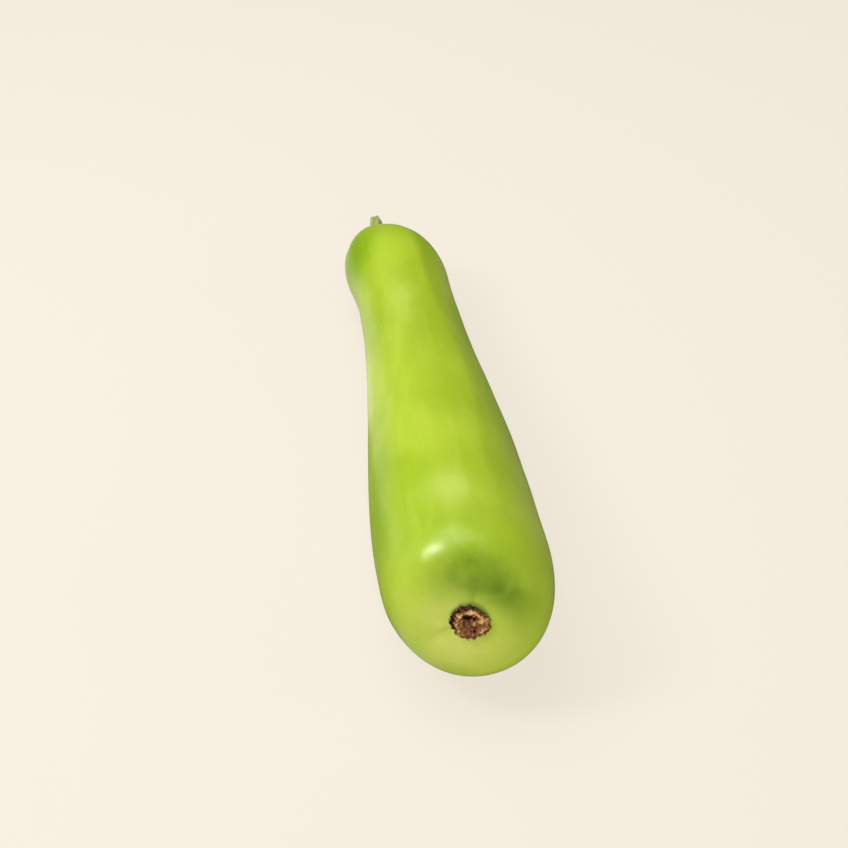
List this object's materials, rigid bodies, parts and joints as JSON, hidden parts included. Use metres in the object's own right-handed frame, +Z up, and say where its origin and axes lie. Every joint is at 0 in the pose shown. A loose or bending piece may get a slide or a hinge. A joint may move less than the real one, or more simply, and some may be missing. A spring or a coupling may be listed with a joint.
{
  "type": "bottle gourd",
  "caption": "Long bottle gourd as picked, lying down: smooth light green fruit with a blunt belly end, slight waist and round head, dry blossom scar and curved ribbed stalk.",
  "frame": {"origin": "on the ground, under the middle of the object's box", "axes": "+Z up, +Y along the gourd from the blunt blossom end towards the stalk"},
  "size_m": [0.0854, 0.4174, 0.0905],
  "materials": {
    "skin": "smooth waxy green skin, satin sheen",
    "stalk": "fibrous green stem, matte, brown cut end",
    "dry_blossom": "dry brown flower remains, rough and ragged"
  },
  "bodies": {
    "root": {"fruit": "skin", "stalk": "stalk", "blossom_scar": "dry_blossom"}
  },
  "joints": []
}
